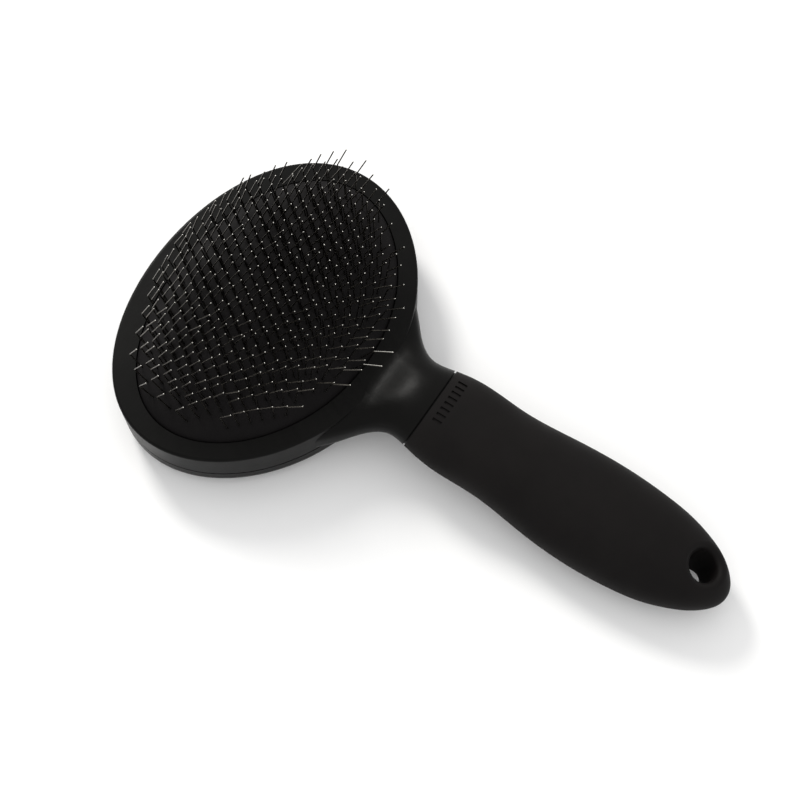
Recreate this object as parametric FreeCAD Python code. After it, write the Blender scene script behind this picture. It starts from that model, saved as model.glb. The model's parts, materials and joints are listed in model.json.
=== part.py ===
import FreeCAD, Part
import math
import os

V = FreeCAD.Vector

# Millimetres. Origin at the middle of the head's flat back, +X along the handle, +Z out of the pad.

# Head: egg-shaped plan, narrower on the handle side
HEAD_X = 42.0
HEAD_Y = 56.5
EGG = -0.09
EGG_POINTS = 32
FACE_Z = 19.0
HEAD_WALL = 3.0
BEZEL_T = 2.6
BEZEL_ROUND = 0.8
BACK_RISE = 5.5
BACK_INSET = 8.0
FLOOR_T = 2.4
FLOOR_RISE = 3.1
FLOOR_INSET = 6.0
ROUND_STEPS = 6

# Pad, seen inside the bezel
PAD_X = 34.3
PAD_Y = 50.0
PAD_SHIFT = 0.6
PAD_GAP = 0.4
PAD_EDGE_Z = 18.2
FLANGE_X = 37.6
FLANGE_Y = 52.2
FLANGE_T = 1.4
FLANGE_PLAY = 0.1
SKIN_T = 2.0
SKIN_WALL = 2.2
CLOTH_T = 0.8
CLOTH_EDGE = 2.5
LAYER_GAP = 0.15
CROWN_SPACE = 1.0
FOAM_EDGE = 2.7
FOAM_BASE_Z = 8.0

# Pad dome: a rounded shoulder, then a shallow crown
SHOULDER_RISE = 3.2
SHOULDER_RUN = 6.5
CROWN_RISE = 2.6
DOME_INSETS = (0.0, 0.3, 1.1, 2.6, 4.6, 6.5, 11.0, 18.0, 30.0)
HALVINGS = 30

# Backing plate and the ribs under it
PLATE_X = 37.0
PLATE_Y = 51.5
PLATE_T = 1.8
RIB_T = 1.6
RIB_PITCH = 16.0
RIB_COUNT = 5

# Handle sections: x, half width, top, bottom, squareness
HANDLE = (
    (25.0, 37.0, 17.6, 8.0, 4.2),
    (32.0, 32.0, 18.5, 6.0, 4.0),
    (38.5, 24.6, 19.0, 5.6, 3.5),
    (42.5, 20.0, 19.5, 6.4, 3.1),
    (47.0, 15.7, 21.4, 7.4, 2.7),
    (52.0, 13.4, 23.4, 7.5, 2.4),
    (59.0, 14.2, 24.2, 6.9, 2.3),
    (67.5, 15.5, 24.1, 5.8, 2.3),
    (84.0, 15.1, 22.9, 3.4, 2.3),
    (100.0, 16.5, 21.6, 1.1, 2.3),
    (118.0, 17.5, 20.6, 0.0, 2.3),
    (133.0, 16.5, 19.7, 0.2, 2.3),
    (142.0, 14.9, 19.0, 0.9, 2.3),
    (149.0, 12.5, 18.2, 2.0, 2.3),
    (154.5, 9.8, 16.6, 3.4, 2.3),
    (158.4, 6.8, 14.4, 4.8, 2.2),
    (160.7, 4.0, 12.2, 6.2, 2.1),
    (161.6, 1.9, 10.7, 7.5, 2.0),
)
HANDLE_TIP = (161.8, 9.1)
SECTION_POINTS = 32
CORE_START_X = 51.0
CORE_END_X = 143.0
GRIP_T = 2.7
MOULD_GAP = 0.05
CORE_WALL = 2.4
CORE_HOLLOW = (46.0, 134.0)

# Joint between the hard neck and the soft grip
SEAM_X = 58.5
SEAM_Z = 14.5
SEAM_TILT = 13.0
SEAM_GAP = 0.05
SEAM_GROOVE = 0.5
SEAM_DEEP = 0.6
BAND_START = 2.2
BAND_LENGTH = 3.0
BAND_BAR = 0.8
BAND_PITCH = 2.1
BAND_BARS = 8
BAND_DEEP = 0.5
BAND_SHIFT = 2.0

# Hanging hole, leaning towards the tip and to one side
HOLE_X = 149.6
HOLE_Z = 9.1
HOLE_LEAN_X = 0.325
HOLE_LEAN_Y = 0.364
HOLE_R = 4.8
MOUTH_TOP = 1.8
MOUTH_BACK = 1.4
HOLE_MIDDLE = V(HOLE_X, 0, HOLE_Z)
HOLE_AXIS = V(HOLE_LEAN_X, HOLE_LEAN_Y, 1.0).normalize()

# Parting line of the two shells, seen from the side: x, z
PARTING = ((-60.0, 8.8), (-20.0, 8.8), (2.0, 8.7), (16.0, 8.3), (30.0, 8.2), (46.0, 9.6), (62.0, 12.0),
           (100.0, 11.4), (135.0, 10.0), (170.0, 9.5))
LINE_H = 0.5
LINE_DEEP = 0.5
LINE_START_X = 25.0
LINE_END_X = 68.0
TONGUE_T = 1.0
TONGUE_H = 1.4
TONGUE_PLAY = 0.15

# Staples
WIRE_D = 0.42
TIP_R = 0.203
ROW_FIRST_X = -30.6
ROW_PITCH = 2.215
ROW_COUNT = 29
CROWN = 4.5
STAPLE_PITCH = 8.1
ROW_STEP = 2.55
FIELD_X = 31.4
FIELD_Y = 47.0
FIELD_SHIFT = 0.6
PIN_LOW = 10.8
PIN_TOP = 7.0
LEAN_LOW = -8.0
LEAN_TOP = 26.0
SIDE_TOP = 12.0
CORNER_R = 0.7
KNEE_R = 1.2

# Splay of the wires with the curve of the pad, in degrees
TILT_PER_MM = 0.24
EDGE_TILT_X = 0.085
EDGE_START_X = 14.0
EDGE_TILT_Y = 0.017
EDGE_START_Y = 20.0
TURN_PER_MM = 0.15

# Small differences between wires, in degrees
LEAN_SPREAD = 2.2
SIDE_SPREAD = 1.7
STRAY_LEAN = 8.0
STRAY_EVERY = 19

FAR = 400.0


def egg_edge(half_x, half_y, middle_x, z):
    points = []
    for i in range(EGG_POINTS):
        t = 2.0 * math.pi * i / EGG_POINTS
        x = middle_x + half_x * math.cos(t)
        y = half_y * math.sin(t) * (1.0 + EGG * math.cos(t))
        points.append(V(x, y, z))
    curve = Part.BSplineCurve()
    curve.interpolate(Points=points, PeriodicFlag=True)
    return Part.Wire([curve.toShape()])


def egg_block(half_x, half_y, middle_x, z0, z1):
    face = Part.Face(egg_edge(half_x, half_y, middle_x, z0))
    return face.extrude(V(0, 0, z1 - z0))


def egg_band(half_x, half_y, width, z0, z1):
    outer = egg_block(half_x, half_y, 0.0, z0, z1)
    return outer.cut(egg_block(half_x - width, half_y - width, 0.0, z0, z1))


def bowl(inset, rise, wall, base_z, top_z):
    """Straight-sided tub with a rounded edge round its flat base."""
    rim_z = BACK_RISE
    rings = []
    for i in range(ROUND_STEPS + 1):
        turn = 0.5 * math.pi * i / ROUND_STEPS
        step = wall + inset * (1.0 - math.sin(turn))
        z = rim_z - rise * math.cos(turn)
        rings.append(egg_edge(HEAD_X - step, HEAD_Y - step, 0.0, max(z, base_z)))
    lower = Part.makeLoft(rings, True)
    return lower.fuse(egg_block(HEAD_X - wall, HEAD_Y - wall, 0.0, rim_z, top_z))


def dome_rise(inset):
    """Height of the pad above its edge, a given way in from the edge."""
    away = max(0.0, 1.0 - inset / SHOULDER_RUN)
    crown = 1.0 - (1.0 - inset / PAD_X) ** 2
    return SHOULDER_RISE * math.sqrt(1.0 - away * away) + CROWN_RISE * crown


def dome(extra_inset, drop, base_z, edge):
    """Pad-shaped solid whose top follows the dome, moved in and down, trimmed at the given inset."""
    rings = []
    for inset in DOME_INSETS:
        step = inset + extra_inset
        z = PAD_EDGE_Z + dome_rise(inset) - drop
        rings.append(egg_edge(PAD_X - step, PAD_Y - step, PAD_SHIFT, z))
    cap = Part.makeLoft(rings, True)
    solid = cap.fuse(egg_block(PAD_X - extra_inset, PAD_Y - extra_inset, PAD_SHIFT, base_z, PAD_EDGE_Z - drop))
    solid = solid.removeSplitter()
    if edge > extra_inset:
        solid = solid.common(egg_block(PAD_X - edge, PAD_Y - edge, PAD_SHIFT, base_z, FAR))
    return solid


def cloth_height(x, y):
    """Height of the pad's inner surface over a point of its plan."""
    low = 0.0
    high = PAD_X - SKIN_WALL - 0.01
    for i in range(HALVINGS):
        inset = 0.5 * (low + high)
        half_x = PAD_X - SKIN_WALL - inset
        half_y = PAD_Y - SKIN_WALL - inset
        c = (x - PAD_SHIFT) / half_x
        within = abs(c) < 1.0 and abs(y) < half_y * math.sqrt(1.0 - c * c) * (1.0 + EGG * c)
        if within:
            low = inset
        else:
            high = inset
    return PAD_EDGE_Z + dome_rise(low) - SKIN_T


def section(x, half, top, bottom, square):
    middle = 0.5 * (top + bottom)
    rise = 0.5 * (top - bottom)
    points = []
    for i in range(SECTION_POINTS):
        t = 2.0 * math.pi * i / SECTION_POINTS
        c = math.cos(t)
        s = math.sin(t)
        y = half * math.copysign(abs(c) ** (2.0 / square), c)
        z = middle + rise * math.copysign(abs(s) ** (2.0 / square), s)
        points.append(V(x, y, z))
    curve = Part.BSplineCurve()
    curve.interpolate(Points=points, PeriodicFlag=True)
    return Part.Wire([curve.toShape()])


def handle_body():
    """Whole handle, from inside the head to its tip."""
    rings = [section(*row) for row in HANDLE]
    x, z = HANDLE_TIP
    rings.append(Part.Vertex(V(x, 0, z)))
    return Part.makeLoft(rings, True)


def core_body(inset, start, end):
    """Handle between two stations, thinner all round."""
    rings = []
    for x, half, top, bottom, square in HANDLE:
        if start <= x <= end:
            rings.append(section(x, half - inset, top - inset, bottom + inset, square))
    return Part.makeLoft(rings, True)


def mouth_edges(shape, upper):
    """Rim of the hanging hole on the upper or the lower side."""
    rims = []
    for edge in shape.Edges:
        off = edge.valueAt(0.5 * (edge.FirstParameter + edge.LastParameter)) - HOLE_MIDDLE
        along = off.dot(HOLE_AXIS)
        off_wall = abs((off - HOLE_AXIS * along).Length - HOLE_R)
        span = edge.valueAt(edge.LastParameter) - edge.valueAt(edge.FirstParameter)
        curved = span.Length < 0.9 * edge.Length
        if off_wall < 0.01 and curved and (along > 0.0) == upper:
            rims.append(edge)
    return rims


def below_parting(lift):
    points = [V(x, -0.5 * FAR, z + lift) for x, z in PARTING]
    curve = Part.BSplineCurve()
    curve.interpolate(Points=points)
    first = points[0]
    last = points[-1]
    low_first = V(first.x, first.y, -50)
    low_last = V(last.x, last.y, -50)
    sides = [Part.makeLine(last, low_last), Part.makeLine(low_last, low_first), Part.makeLine(low_first, first)]
    return Part.Face(Part.Wire([curve.toShape()] + sides)).extrude(V(0, FAR, 0))


def beyond_seam(shift):
    """Everything on the grip side of the tilted joint plane."""
    block = Part.makeBox(FAR, FAR, FAR, V(0, -0.5 * FAR, -0.5 * FAR))
    block.rotate(V(0, 0, 0), V(0, 1, 0), SEAM_TILT)
    block.translate(V(SEAM_X + shift, 0, SEAM_Z))
    return block


def rounded_wire(corners, radii):
    """Straight runs between corners, joined by arcs that touch both runs."""
    edges = []
    start = corners[0]
    for before, corner, after, radius in zip(corners, corners[1:], corners[2:], radii):
        back = (before - corner).normalize()
        ahead = (after - corner).normalize()
        half = 0.5 * back.getAngle(ahead)
        reach = radius / math.tan(half)
        enter = corner + back * reach
        leave = corner + ahead * reach
        bisector = (back + ahead).normalize()
        mid = corner + bisector * (radius / math.sin(half) - radius)
        edges.append(Part.makeLine(start, enter))
        edges.append(Part.Arc(enter, mid, leave).toShape())
        start = leave
    edges.append(Part.makeLine(start, corners[-1]))
    return Part.Wire(edges)


def leaning(angle, side):
    a = math.radians(angle)
    s = math.radians(side)
    return V(math.sin(a) * math.cos(s), math.sin(s), math.cos(a) * math.cos(s))


def staple(x, y, row, number):
    """One U of wire: a crown behind the cloth and two bent legs through the pad."""
    tilt = TILT_PER_MM * x + EDGE_TILT_X * max(0.0, x - EDGE_START_X) ** 2
    stray = STRAY_LEAN if (7 * row + 3 * number) % STRAY_EVERY == 0 else 0.0
    legs = []
    for k, side in enumerate((-1.0, 1.0)):
        leg_y = y + side * 0.5 * CROWN
        root = V(x, leg_y, cloth_height(x, leg_y) - CLOTH_T - 2.0 * LAYER_GAP - 0.5 * WIRE_D)
        splay = math.copysign(EDGE_TILT_Y * max(0.0, abs(leg_y) - EDGE_START_Y) ** 2, leg_y)
        sway = LEAN_SPREAD * math.sin(12.9 * row + 78.2 * number + 5.1 * k)
        slip = splay + SIDE_SPREAD * math.sin(43.7 * row + 17.3 * number + 2.9 * k)
        low = leaning(LEAN_LOW + tilt + 0.5 * sway, slip)
        top = leaning(LEAN_TOP + tilt + sway + stray - TURN_PER_MM * leg_y, slip + SIDE_TOP)
        knee = root + low * (SKIN_T + CLOTH_T + PIN_LOW)
        legs.append((root, knee, knee + top * PIN_TOP))
    left, right = legs
    corners = [left[2], left[1], left[0], right[0], right[1], right[2]]
    path = rounded_wire(corners, (KNEE_R, CORNER_R, CORNER_R, KNEE_R))
    start = (left[1] - left[2]).normalize()
    ring = Part.Wire([Part.makeCircle(0.5 * WIRE_D, left[2], start)])
    wire = path.makePipeShell([ring], True, False)
    return wire.fuse([Part.makeSphere(TIP_R, leg[2]) for leg in legs])


def save(shape, name):
    shape.exportStep("parts/" + name + ".step")


os.makedirs("parts", exist_ok=True)

# Outer skin of head and handle
head = bowl(BACK_INSET, BACK_RISE, 0.0, 0.0, FACE_Z).removeSplitter()
rim_edges = [e for e in head.Edges if e.BoundBox.ZMin > FACE_Z - 0.01]
head = head.makeFillet(BEZEL_ROUND, rim_edges)
handle = handle_body()
neck = handle.cut(beyond_seam(0.0))
groove = beyond_seam(-SEAM_GROOVE).cut(core_body(SEAM_DEEP, CORE_START_X, CORE_END_X))
neck = neck.cut(groove)
core = core_body(GRIP_T + MOULD_GAP, CORE_START_X, CORE_END_X).common(beyond_seam(-1.0))
hard = head.fuse(neck).fuse(core)

# Hollows
inside = bowl(FLOOR_INSET, FLOOR_RISE, HEAD_WALL, FLOOR_T, FACE_Z - BEZEL_T)
window = egg_block(PAD_X + PAD_GAP, PAD_Y + PAD_GAP, PAD_SHIFT, FACE_Z - BEZEL_T - 1.0, FACE_Z + 6.0)
hard = hard.cut(inside).cut(window)
hollow_start, hollow_end = CORE_HOLLOW
hard = hard.cut(core_body(GRIP_T + CORE_WALL, hollow_start, hollow_end))

# Two shells meeting on a tongue and groove round the head
middle = 0.5 * (HEAD_WALL + TONGUE_T)
tongue = egg_band(HEAD_X - HEAD_WALL + middle, HEAD_Y - HEAD_WALL + middle, TONGUE_T, 0.0, FACE_Z)
groove_w = TONGUE_T + 2.0 * TONGUE_PLAY
outer_x = HEAD_X - HEAD_WALL + middle + TONGUE_PLAY
outer_y = HEAD_Y - HEAD_WALL + middle + TONGUE_PLAY
groove = egg_band(outer_x, outer_y, groove_w, 0.0, FACE_Z)
low_half = below_parting(0.0)
tongue = tongue.common(below_parting(TONGUE_H)).cut(low_half)
groove = groove.common(below_parting(TONGUE_H + TONGUE_PLAY)).cut(low_half)
line = below_parting(LINE_H).cut(low_half)
line = line.cut(egg_block(HEAD_X - LINE_DEEP, HEAD_Y - LINE_DEEP, 0.0, 0.0, FACE_Z))
line = line.cut(core_body(LINE_DEEP, LINE_START_X, LINE_END_X)).cut(beyond_seam(-SEAM_GROOVE))
front_shell = hard.cut(low_half).cut(groove).cut(line)
rear_shell = hard.common(low_half).fuse(tongue)
for i in range(RIB_COUNT):
    x = (i - 0.5 * (RIB_COUNT - 1)) * RIB_PITCH
    rib = Part.makeBox(RIB_T, FAR, FOAM_BASE_Z - PLATE_T, V(x - 0.5 * RIB_T, -0.5 * FAR, 0.0))
    rear_shell = rear_shell.fuse(rib.common(inside))
save(front_shell, "front_shell")
save(rear_shell, "rear_shell")

# Soft grip moulded over the core, with a band of shallow marks behind the joint
grip = handle.common(beyond_seam(SEAM_GAP)).cut(core_body(GRIP_T, CORE_START_X, CORE_END_X))
grip = grip.cut(Part.makeCylinder(HOLE_R, FAR, HOLE_MIDDLE - HOLE_AXIS * (0.5 * FAR), HOLE_AXIS))
grip = grip.makeFillet(MOUTH_TOP, mouth_edges(grip, True))
grip = grip.makeFillet(MOUTH_BACK, mouth_edges(grip, False))
marks = []
for i in range(BAND_BARS):
    y = BAND_SHIFT + (i - 0.5 * (BAND_BARS - 1)) * BAND_PITCH
    bar = Part.makeBox(BAND_LENGTH, BAND_BAR, FAR, V(BAND_START, y - 0.5 * BAND_BAR, 0.0))
    bar.rotate(V(0, 0, 0), V(0, 1, 0), SEAM_TILT)
    bar.translate(V(SEAM_X, 0, SEAM_Z))
    marks.append(bar)
under_marks = core_body(BAND_DEEP, CORE_START_X, CORE_END_X)
grip = grip.cut(marks[0].fuse(marks[1:]).cut(under_marks))
save(grip, "soft_grip")

# Pad: rubber skin with a flange under the bezel, cloth, sponge and plate
flange_top = FACE_Z - BEZEL_T - FLANGE_PLAY
skin = dome(0.0, 0.0, flange_top - FLANGE_T, 0.0)
skin = skin.fuse(egg_block(FLANGE_X, FLANGE_Y, 0.0, flange_top - FLANGE_T, flange_top))
skin = skin.cut(dome(SKIN_WALL, SKIN_T, 0.0, SKIN_WALL))
save(skin, "rubber_cushion")
cloth_drop = SKIN_T + LAYER_GAP
cloth = dome(SKIN_WALL, cloth_drop, 0.0, CLOTH_EDGE).cut(dome(SKIN_WALL, cloth_drop + CLOTH_T, 0.0, 0.0))
save(cloth, "wire_foundation")
foam_drop = cloth_drop + CLOTH_T + CROWN_SPACE
foam = dome(SKIN_WALL, foam_drop, FOAM_BASE_Z, FOAM_EDGE)
save(foam, "foam_layer")
plate = egg_block(PLATE_X, PLATE_Y, 0.0, FOAM_BASE_Z - PLATE_T, FOAM_BASE_Z)
save(plate, "backing_plate")

# Rows of staples, each row stepped along from the last
for row in range(ROW_COUNT):
    x = ROW_FIRST_X + row * ROW_PITCH
    c = (x - FIELD_SHIFT) / FIELD_X
    reach = FIELD_Y * math.sqrt(1.0 - c * c) * (1.0 + EGG * c) - 0.5 * CROWN
    offset = (row * ROW_STEP) % STAPLE_PITCH
    first = math.ceil((-reach - offset) / STAPLE_PITCH)
    last = math.floor((reach - offset) / STAPLE_PITCH)
    middles = [offset + n * STAPLE_PITCH for n in range(first, last + 1)]
    staples = [staple(x, y, row, n) for n, y in enumerate(middles)]
    save(Part.makeCompound(staples), "pin_row_%02d" % (row + 1))
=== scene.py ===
import json
import math

import bpy
import numpy as np
from mathutils import Matrix, Vector
from mathutils import noise as mathutils_noise


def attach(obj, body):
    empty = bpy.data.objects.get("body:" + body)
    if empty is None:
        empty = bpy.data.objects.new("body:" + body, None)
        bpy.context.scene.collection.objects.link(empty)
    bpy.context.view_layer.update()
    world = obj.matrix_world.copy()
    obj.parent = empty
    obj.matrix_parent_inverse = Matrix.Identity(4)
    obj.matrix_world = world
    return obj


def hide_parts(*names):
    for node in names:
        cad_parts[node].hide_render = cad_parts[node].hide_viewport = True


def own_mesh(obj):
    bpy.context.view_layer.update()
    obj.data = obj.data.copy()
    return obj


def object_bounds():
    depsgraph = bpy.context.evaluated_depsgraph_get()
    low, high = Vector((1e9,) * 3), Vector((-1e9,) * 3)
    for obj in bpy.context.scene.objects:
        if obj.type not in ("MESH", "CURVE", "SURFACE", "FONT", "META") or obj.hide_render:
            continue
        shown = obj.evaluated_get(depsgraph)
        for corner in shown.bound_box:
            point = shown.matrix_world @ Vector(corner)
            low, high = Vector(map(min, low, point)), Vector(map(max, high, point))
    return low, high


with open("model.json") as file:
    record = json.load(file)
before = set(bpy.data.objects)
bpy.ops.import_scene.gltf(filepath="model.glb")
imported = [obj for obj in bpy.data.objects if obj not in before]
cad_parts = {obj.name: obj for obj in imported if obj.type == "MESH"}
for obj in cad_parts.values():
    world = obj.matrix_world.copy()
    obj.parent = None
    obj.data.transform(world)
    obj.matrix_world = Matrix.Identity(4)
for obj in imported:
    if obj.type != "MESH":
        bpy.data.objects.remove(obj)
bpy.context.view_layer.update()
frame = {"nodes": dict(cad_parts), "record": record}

MM = 0.001

# Camera: the angle the brush is seen from, and how far off its head it aims
AZIMUTH = math.radians(33.46)
ELEVATION = math.radians(66.07)
DISTANCE = 417.3 * MM
AIM_RIGHT = 39.85 * MM
AIM_UP = -28.4 * MM
AIM_Z = 19.0 * MM
LENS = 60.35
SENSOR = 36.0
NEAR_CLIP = 0.01

# Studio: one small key light in a bright, even room
KEY_POWER = 10.5
KEY_WAY = (-0.73, 0.34, 0.59)
KEY_DISTANCE = 1.3
KEY_SIZE = 0.35
KEY_COLOUR = (1.0, 0.985, 0.95)
ROOM_STRENGTH = 1.0
FLOOR_SPAN = 60.0

# Egg plan of the head, and the rubber pad in its window
EGG = -0.09
PAD_X = 34.5 * MM
PAD_Y = 50.2 * MM
PAD_MIDDLE = 0.6 * MM
PAD_EDGE_Z = 18.2 * MM
SHOULDER_RISE = 3.2 * MM
SHOULDER_RUN = 6.5 * MM
CROWN_RISE = 2.6 * MM
CAP_INSET = 30.0 * MM
SKIN = 2.0 * MM
SKIN_WALL = 2.2 * MM
SIDE_Z = 17.2 * MM
FLANGE_X = 37.6 * MM
FLANGE_Y = 52.2 * MM
FLANGE_TOP = 16.3 * MM
FLANGE_LOW = 14.9 * MM
FLANGE_EDGE = 0.3 * MM
CLOTH_DROP = 2.15 * MM
CLOTH = 0.8 * MM
CLOTH_EDGE = 2.5 * MM
FOAM_DROP = 3.95 * MM
FOAM_EDGE = 2.8 * MM
FOAM_BASE = 8.0 * MM
FOAM_WALL_RINGS = 8
FOAM_BASE_RINGS = 40

# Mesh steps along the face of the pad, its underside, the cloth and the foam
FACE_STEP = 0.45 * MM
UNDER_STEP = 3.0 * MM
CLOTH_STEP = 1.0 * MM
FOAM_STEP = 0.8 * MM

# A wire's leg is found as edges from under the face to well above it, in groups a gap apart
LEG_UNDER = 1.2 * MM
LEG_OVER = 5.0 * MM
LEG_GAP = 1.0 * MM

# Rubber drawn in round each wire, the slow unevenness of its face, and the foam's cells
DIMPLE_R = 0.75 * MM
DIMPLE = 0.30 * MM
LIP_R = 1.25 * MM
LIP_REACH = 3.0 * LIP_R
LIP = 0.12 * MM
CALM_EDGE = 2.0 * MM
UNEVEN = 0.10 * MM
UNEVEN_SCALE = 90.0
CELLS = 0.14 * MM
CELL_SCALE = 1300.0
BASE_CLEAR = 0.1 * MM
HALVINGS = 24
SLIVER = 0.01 * MM

# Painted highlight on the wire tips: how squarely a face looks up before it is painted bright, the painted
# colour, and the roughness there
TIP_FACING_LOW = 0.83
TIP_FACING_HIGH = 0.9
# White base colour painted on up-facing faces, standing in for the glint of the tips
TIP_HIGHLIGHT_COLOUR = (1.0, 0.99, 0.95)
TIP_ROUGH = 0.8


def new_material(name):
    """A node material, with its node tree and its shader."""
    material = bpy.data.materials.new(name)
    material.use_nodes = True
    tree = material.node_tree
    shader = tree.nodes["Principled BSDF"]
    return material, tree, shader


def noise(tree, scale, detail=3.0, rough=0.5):
    """Noise fixed to the object, from 0 to 1."""
    coords = tree.nodes.new("ShaderNodeTexCoord")
    made = tree.nodes.new("ShaderNodeTexNoise")
    made.inputs["Scale"].default_value = scale
    made.inputs["Detail"].default_value = detail
    made.inputs["Roughness"].default_value = rough
    tree.links.new(coords.outputs["Object"], made.inputs["Vector"])
    return made.outputs["Fac"]


def ramp(tree, source, stops):
    """Values or colours along a source, from a few (position, value) stops."""
    made = tree.nodes.new("ShaderNodeValToRGB")
    made.color_ramp.elements.remove(made.color_ramp.elements[1])
    for i, (at, value) in enumerate(stops):
        element = made.color_ramp.elements[0] if i == 0 else made.color_ramp.elements.new(at)
        element.position = at
        colour = value if isinstance(value, tuple) else (value, value, value)
        element.color = (*colour, 1.0)
    tree.links.new(source, made.inputs["Fac"])
    return made.outputs["Color"]


def bump(tree, shader, height, distance, strength=1.0, under=None):
    """Bump on a shader, over an earlier bump if there is one."""
    made = tree.nodes.new("ShaderNodeBump")
    made.inputs["Strength"].default_value = strength
    made.inputs["Distance"].default_value = distance
    tree.links.new(height, made.inputs["Height"])
    if under is not None:
        tree.links.new(under.outputs["Normal"], made.inputs["Normal"])
    tree.links.new(made.outputs["Normal"], shader.inputs["Normal"])
    return made


def moulded(name, dark, light, rough_low, rough_high, grain, grain_depth, specular):
    """Moulded black plastic or rubber: fine grain, patchy sheen, slightly uneven colour."""
    material, tree, shader = new_material(name)
    colour = ramp(tree, noise(tree, 38.0, detail=4.0, rough=0.6), [(0.35, dark), (0.68, light)])
    tree.links.new(colour, shader.inputs["Base Color"])
    rough = ramp(tree, noise(tree, 90.0, detail=5.0, rough=0.62), [(0.3, rough_low), (0.7, rough_high)])
    tree.links.new(rough, shader.inputs["Roughness"])
    shader.inputs["Specular IOR Level"].default_value = specular
    coarse = bump(tree, shader, noise(tree, grain * 0.35, detail=2.0), grain_depth * 1.6, strength=0.5)
    bump(tree, shader, noise(tree, grain, detail=2.0, rough=0.55), grain_depth, under=coarse)
    return material


def steel(name):
    """Dull drawn wire, with a painted highlight: a bright base colour where it faces straight out of the
    pad.
    """
    material, tree, shader = new_material(name)
    shader.inputs["Metallic"].default_value = 1.0
    dull = ramp(tree, noise(tree, 160.0), [(0.3, (0.085, 0.078, 0.068)), (0.7, (0.15, 0.14, 0.125))])
    geometry = tree.nodes.new("ShaderNodeNewGeometry")
    split = tree.nodes.new("ShaderNodeSeparateXYZ")
    tree.links.new(geometry.outputs["Normal"], split.inputs["Vector"])
    # Painted highlight: faces that look straight up get a white base colour, and a higher roughness,
    # standing in for the glint on the wire tips
    painted_tip_highlight = ramp(tree, split.outputs["Z"], [(TIP_FACING_LOW, 0.0), (TIP_FACING_HIGH, 1.0)])
    blend = tree.nodes.new("ShaderNodeMixRGB")
    tree.links.new(painted_tip_highlight, blend.inputs["Fac"])
    tree.links.new(dull, blend.inputs["Color1"])
    blend.inputs["Color2"].default_value = (*TIP_HIGHLIGHT_COLOUR, 1.0)
    tree.links.new(blend.outputs["Color"], shader.inputs["Base Color"])
    drawn = ramp(tree, noise(tree, 700.0, detail=2.0), [(0.3, 0.24), (0.7, 0.36)])
    highlight_roughness = tree.nodes.new("ShaderNodeMixRGB")
    tree.links.new(painted_tip_highlight, highlight_roughness.inputs["Fac"])
    tree.links.new(drawn, highlight_roughness.inputs["Color1"])
    highlight_roughness.inputs["Color2"].default_value = (TIP_ROUGH, TIP_ROUGH, TIP_ROUGH, 1.0)
    tree.links.new(highlight_roughness.outputs["Color"], shader.inputs["Roughness"])
    bump(tree, shader, noise(tree, 5000.0, detail=2.0), 0.004 * MM)
    return material


def woven(name):
    """Plain weave: two crossed waves for the warp and the weft."""
    material, tree, shader = new_material(name)
    coords = tree.nodes.new("ShaderNodeTexCoord")
    height = None
    for axis in ("X", "Y"):
        wave = tree.nodes.new("ShaderNodeTexWave")
        wave.bands_direction = axis
        wave.inputs["Scale"].default_value = 320.0
        wave.inputs["Distortion"].default_value = 0.6
        tree.links.new(coords.outputs["Object"], wave.inputs["Vector"])
        if height is None:
            height = wave.outputs["Fac"]
        else:
            both = tree.nodes.new("ShaderNodeMath")
            both.operation = "MAXIMUM"
            tree.links.new(height, both.inputs[0])
            tree.links.new(wave.outputs["Fac"], both.inputs[1])
            height = both.outputs[0]
    colour = ramp(tree, height, [(0.1, (0.10, 0.09, 0.08)), (0.8, (0.24, 0.23, 0.20))])
    tree.links.new(colour, shader.inputs["Base Color"])
    shader.inputs["Roughness"].default_value = 0.9
    bump(tree, shader, height, 0.15 * MM)
    return material


def sponge(name):
    """Dark open-cell foam."""
    material, tree, shader = new_material(name)
    coords = tree.nodes.new("ShaderNodeTexCoord")
    cells = tree.nodes.new("ShaderNodeTexVoronoi")
    cells.inputs["Scale"].default_value = 900.0
    tree.links.new(coords.outputs["Object"], cells.inputs["Vector"])
    colour = ramp(tree, cells.outputs["Distance"], [(0.1, (0.03, 0.03, 0.03)), (0.6, (0.12, 0.12, 0.12))])
    tree.links.new(colour, shader.inputs["Base Color"])
    shader.inputs["Roughness"].default_value = 0.95
    bump(tree, shader, cells.outputs["Distance"], 0.4 * MM)
    return material


# One finish for each material slot of the CAD nodes
FINISHES = {
    "shell_plastic": moulded("shell_plastic", dark=(0.0018, 0.0017, 0.0015), light=(0.0032, 0.0030, 0.0027),
                             rough_low=0.30, rough_high=0.38, grain=2600.0, grain_depth=0.014 * MM,
                             specular=0.075),
    "grip_rubber": moulded("grip_rubber", dark=(0.0034, 0.0027, 0.0026), light=(0.0056, 0.0046, 0.0043),
                           rough_low=0.55, rough_high=0.68, grain=4200.0, grain_depth=0.014 * MM,
                           specular=0.10),
    "pad_rubber": moulded("pad_rubber", dark=(0.0022, 0.0017, 0.0018), light=(0.0042, 0.0034, 0.0036),
                          rough_low=0.58, rough_high=0.74, grain=3000.0, grain_depth=0.02 * MM,
                          specular=0.10),
    "plate_plastic": moulded("plate_plastic", dark=(0.03, 0.03, 0.03), light=(0.05, 0.05, 0.05),
                             rough_low=0.45, rough_high=0.6, grain=1500.0, grain_depth=0.02 * MM,
                             specular=0.5),
    "pin_steel": steel("pin_steel"),
    "foundation_cloth": woven("foundation_cloth"),
    "foam": sponge("foam"),
}


def finish_node(name, slot):
    """Give every material slot of a CAD node its finish."""
    piece = frame["nodes"][name]
    if not piece.material_slots:
        piece.data.materials.append(FINISHES[slot])
    for holder in piece.material_slots:
        holder.material = FINISHES[slot]


for part in frame["record"]["subparts"]:
    finish_node(part["node"], part["material_slot"])


def dome_rise(inset):
    """Height of the pad above its edge, a given way in from the edge."""
    away = np.maximum(0.0, 1.0 - inset / SHOULDER_RUN)
    crown = 1.0 - (1.0 - inset / PAD_X) ** 2
    return SHOULDER_RISE * np.sqrt(1.0 - away * away) + CROWN_RISE * crown


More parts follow.
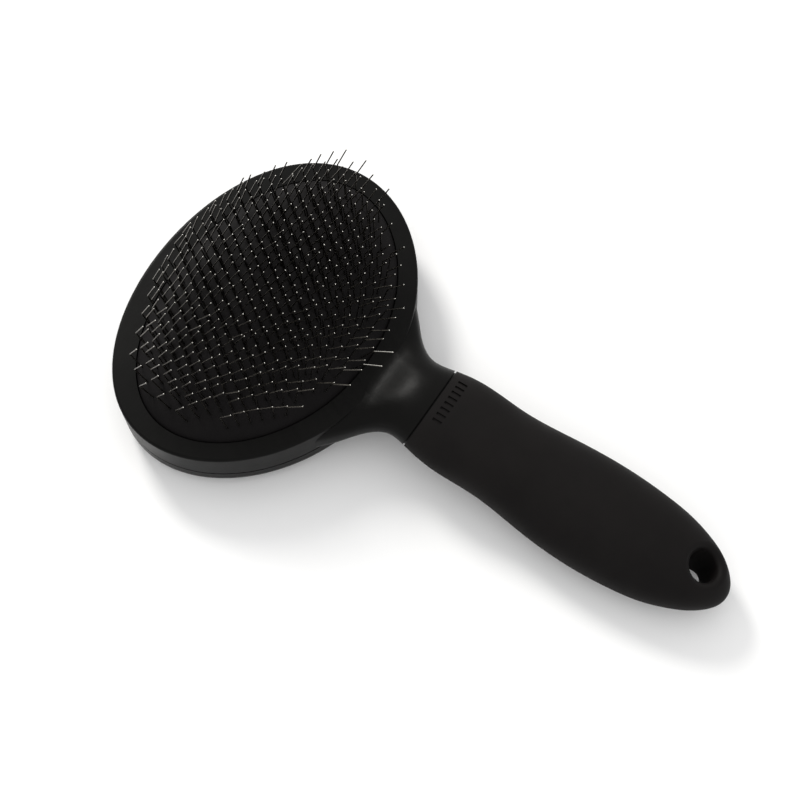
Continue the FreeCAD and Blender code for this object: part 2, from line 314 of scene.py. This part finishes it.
def egg_ring(half_x, half_y, middle, z, count):
    """Points round one level of the egg plan."""
    turn = np.linspace(0.0, 2.0 * math.pi, count, endpoint=False)
    x = middle + half_x * np.cos(turn)
    y = half_y * np.sin(turn) * (1.0 + EGG * np.cos(turn))
    return np.column_stack((x, y, np.full(count, z)))


def shrinking(half_x, half_y, z, steps, count):
    """Rings closing in to the middle of a flat patch, innermost first."""
    shares = (np.arange(steps) + 0.5) / steps
    return [egg_ring(half_x * k, half_y * k, PAD_MIDDLE, z, count) for k in shares]


def dome_rings(extra, drop, edge, step, count):
    """Rings of a face that follows the pad, from its middle out to an edge."""
    cap_x = PAD_X - extra - CAP_INSET
    cap_y = PAD_Y - extra - CAP_INSET
    cap_z = PAD_EDGE_Z + float(dome_rise(CAP_INSET)) - drop
    rings = shrinking(cap_x, cap_y, cap_z, round(cap_y / step), count)
    for inset in np.arange(CAP_INSET, edge - extra + 0.25 * step, -step):
        z = PAD_EDGE_Z + float(dome_rise(inset)) - drop
        rings.append(egg_ring(PAD_X - extra - inset, PAD_Y - extra - inset, PAD_MIDDLE, z, count))
    z = PAD_EDGE_Z + float(dome_rise(edge - extra)) - drop
    rings.append(egg_ring(PAD_X - edge, PAD_Y - edge, PAD_MIDDLE, z, count))
    return rings


def closed_mesh(name, rings):
    """One closed skin over rings that start and end on a middle point."""
    count = len(rings[0])
    points = np.vstack([rings[0].mean(axis=0)] + rings + [rings[-1].mean(axis=0)])
    last = len(points) - 1
    faces = []
    for j in range(count):
        k = (j + 1) % count
        faces.append((0, 1 + j, 1 + k))
        faces.append((last, last - count + k, last - count + j))
    for i in range(len(rings) - 1):
        inner = 1 + i * count
        outer = inner + count
        for j in range(count):
            k = (j + 1) % count
            faces.append((inner + j, outer + j, outer + k, inner + k))
    mesh = bpy.data.meshes.new(name)
    mesh.from_pydata(points.tolist(), [], faces)
    mesh.update()
    for polygon in mesh.polygons:
        polygon.use_smooth = True
    piece = bpy.data.objects.new(name, mesh)
    bpy.context.collection.objects.link(piece)
    return piece


def inset_under(points):
    """How far in from the pad's edge each point of its plan lies."""
    low = np.zeros(len(points))
    high = np.full(len(points), PAD_X - SLIVER)
    for _ in range(HALVINGS):
        inset = 0.5 * (low + high)
        c = (points[:, 0] - PAD_MIDDLE) / (PAD_X - inset)
        half = (PAD_Y - inset) * np.sqrt(np.clip(1.0 - c * c, 0.0, 1.0)) * (1.0 + EGG * c)
        within = (np.abs(c) < 1.0) & (np.abs(points[:, 1]) < half)
        low = np.where(within, inset, low)
        high = np.where(within, high, inset)
    return low


def wire_holes():
    """Points where the wires come out of the rubber."""
    holes = []
    for name in sorted(name for name in frame["nodes"] if name.startswith("pin_row")):
        mesh = frame["nodes"][name].data
        points = np.empty(len(mesh.vertices) * 3)
        mesh.vertices.foreach_get("co", points)
        points = points.reshape(-1, 3)
        ends = np.empty(len(mesh.edges) * 2, dtype=np.int64)
        mesh.edges.foreach_get("vertices", ends)
        ends = ends.reshape(-1, 2)
        first = points[ends[:, 0]]
        second = points[ends[:, 1]]
        swap = (first[:, 2] > second[:, 2])[:, None]
        foot = np.where(swap, second, first)
        top = np.where(swap, first, second)
        face = PAD_EDGE_Z + dome_rise(inset_under(foot))
        legs = (foot[:, 2] < face - LEG_UNDER) & (top[:, 2] > face + LEG_OVER)
        share = (face[legs] - foot[legs, 2]) / (top[legs, 2] - foot[legs, 2])
        through = foot[legs] + (top[legs] - foot[legs]) * share[:, None]
        through = through[np.argsort(through[:, 1])]
        for group in np.split(through, np.flatnonzero(np.diff(through[:, 1]) > LEG_GAP) + 1):
            holes.append(group.mean(axis=0))
    return np.array(holes)


def drawn_in(points, holes):
    """Dimple and lip of the rubber round each wire."""
    lift = np.zeros(len(points))
    for hole in holes:
        near = np.abs(points[:, 0] - hole[0]) < LIP_REACH
        near &= np.abs(points[:, 1] - hole[1]) < LIP_REACH
        away = np.hypot(points[near, 0] - hole[0], points[near, 1] - hole[1])
        lift[near] += LIP * np.exp(-((away / LIP_R) ** 2)) - DIMPLE * np.exp(-((away / DIMPLE_R) ** 2))
    return lift


def rubber_pad(count=640):
    """Rubber skin with its flange, domed, uneven, and drawn in round the wires."""
    face = dome_rings(0.0, 0.0, 0.0, FACE_STEP, count)
    on_face = len(face) * count
    side = [(PAD_X, PAD_Y, PAD_MIDDLE, SIDE_Z), (PAD_X, PAD_Y, PAD_MIDDLE, FLANGE_TOP),
            (FLANGE_X - FLANGE_EDGE, FLANGE_Y - FLANGE_EDGE, 0.0, FLANGE_TOP),
            (FLANGE_X, FLANGE_Y, 0.0, FLANGE_TOP - FLANGE_EDGE), (FLANGE_X, FLANGE_Y, 0.0, FLANGE_LOW),
            (PAD_X - SKIN_WALL, PAD_Y - SKIN_WALL, PAD_MIDDLE, FLANGE_LOW)]
    rings = face + [egg_ring(*row, count) for row in side]
    rings += dome_rings(SKIN_WALL, SKIN, SKIN_WALL, UNDER_STEP, count)[::-1]
    pad = closed_mesh("rubber_pad", rings)
    points = np.empty(len(pad.data.vertices) * 3)
    pad.data.vertices.foreach_get("co", points)
    points = points.reshape(-1, 3)
    top = points[:on_face + 1]
    calm = np.clip(inset_under(top) / CALM_EDGE, 0.0, 1.0)
    slow = np.array([mathutils_noise.noise(Vector(p) * UNEVEN_SCALE) for p in top])
    top[:, 2] += calm * (UNEVEN * slow + drawn_in(top, wire_holes()))
    pad.data.vertices.foreach_set("co", points.ravel())
    pad.data.update()
    return pad


def cloth_disc(count=256):
    """Cloth that carries the wires, under the rubber."""
    rings = dome_rings(SKIN_WALL, CLOTH_DROP, CLOTH_EDGE, CLOTH_STEP, count)
    rings += dome_rings(SKIN_WALL, CLOTH_DROP + CLOTH, CLOTH_EDGE, CLOTH_STEP, count)[::-1]
    return closed_mesh("cloth_disc", rings)


def foam_block(count=360):
    """Sponge under the cloth, with open cells on its skin."""
    rings = dome_rings(SKIN_WALL, FOAM_DROP, FOAM_EDGE, FOAM_STEP, count)
    top_z = rings[-1][0, 2]
    for share in np.linspace(0.0, 1.0, FOAM_WALL_RINGS + 1)[1:]:
        z = top_z + (FOAM_BASE - top_z) * share
        rings.append(egg_ring(PAD_X - FOAM_EDGE, PAD_Y - FOAM_EDGE, PAD_MIDDLE, z, count))
    rings += shrinking(PAD_X - FOAM_EDGE, PAD_Y - FOAM_EDGE, FOAM_BASE, FOAM_BASE_RINGS, count)[::-1]
    block = closed_mesh("foam_block", rings)
    points = [vertex.co.copy() for vertex in block.data.vertices]
    normals = [vertex.normal.copy() for vertex in block.data.vertices]
    for vertex, point, normal in zip(block.data.vertices, points, normals):
        if point.z > FOAM_BASE + BASE_CLEAR:
            cell = abs(mathutils_noise.noise(point * CELL_SCALE))
            vertex.co = point - normal * CELLS * cell
    block.data.update()
    return block


def put(piece, body, slot, nodes):
    """Finish a piece and set it on its body in place of its CAD nodes."""
    piece.data.materials.append(FINISHES[slot])
    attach(piece, body)
    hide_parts(*nodes)


pad = rubber_pad()
put(pad, "pin_bed", "pad_rubber", ["rubber_cushion"])
cloth = cloth_disc()
put(cloth, "pin_bed", "foundation_cloth", ["wire_foundation"])
block = foam_block()
put(block, "brush_body", "foam", ["foam_layer"])
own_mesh(block)

# Key light
low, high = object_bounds()
way = Vector(KEY_WAY).normalized()
key_data = bpy.data.lights.new("key", "AREA")
key_data.shape = "DISK"
key_data.size = KEY_SIZE
key_data.energy = KEY_POWER
key_data.color = KEY_COLOUR
key = bpy.data.objects.new("key", key_data)
bpy.context.collection.objects.link(key)
key.location = (low + high) / 2 + way * KEY_DISTANCE
key.rotation_mode = "QUATERNION"
key.rotation_quaternion = way.to_track_quat("Z", "Y")

# Bright, even room
world = bpy.data.worlds.new("studio")
bpy.context.scene.world = world
world.use_nodes = True
room = world.node_tree.nodes["Background"]
room.inputs["Color"].default_value = (1.0, 1.0, 1.0, 1.0)
room.inputs["Strength"].default_value = ROOM_STRENGTH

# Pale floor
floor_mesh = bpy.data.meshes.new("floor")
corners = [(x * FLOOR_SPAN, y * FLOOR_SPAN, low.z) for x, y in ((-1, -1), (1, -1), (1, 1), (-1, 1))]
floor_mesh.from_pydata(corners, [], [(0, 1, 2, 3)])
floor = bpy.data.objects.new("floor", floor_mesh)
bpy.context.collection.objects.link(floor)
floor_material, floor_tree, floor_shader = new_material("floor_paper")
paper = ramp(floor_tree, noise(floor_tree, 3.0), [(0.2, 0.86), (0.8, 0.9)])
floor_tree.links.new(paper, floor_shader.inputs["Base Color"])
floor_shader.inputs["Roughness"].default_value = 0.9
floor_mesh.materials.append(floor_material)

# Camera
back = Vector((math.sin(AZIMUTH) * math.cos(ELEVATION), -math.cos(AZIMUTH) * math.cos(ELEVATION),
               math.sin(ELEVATION)))
right = Vector((math.cos(AZIMUTH), math.sin(AZIMUTH), 0.0))
up = back.cross(right)
camera_data = bpy.data.cameras.new("camera")
camera_data.lens = LENS
camera_data.sensor_width = SENSOR
camera_data.clip_start = NEAR_CLIP
camera = bpy.data.objects.new("camera", camera_data)
bpy.context.collection.objects.link(camera)
place = Vector((0, 0, AIM_Z)) + right * AIM_RIGHT + up * AIM_UP + back * DISTANCE
camera.matrix_world = Matrix.Translation(place) @ Matrix((right, up, back)).transposed().to_4x4()
bpy.context.scene.camera = camera
bpy.context.scene.view_settings.view_transform = "Standard"
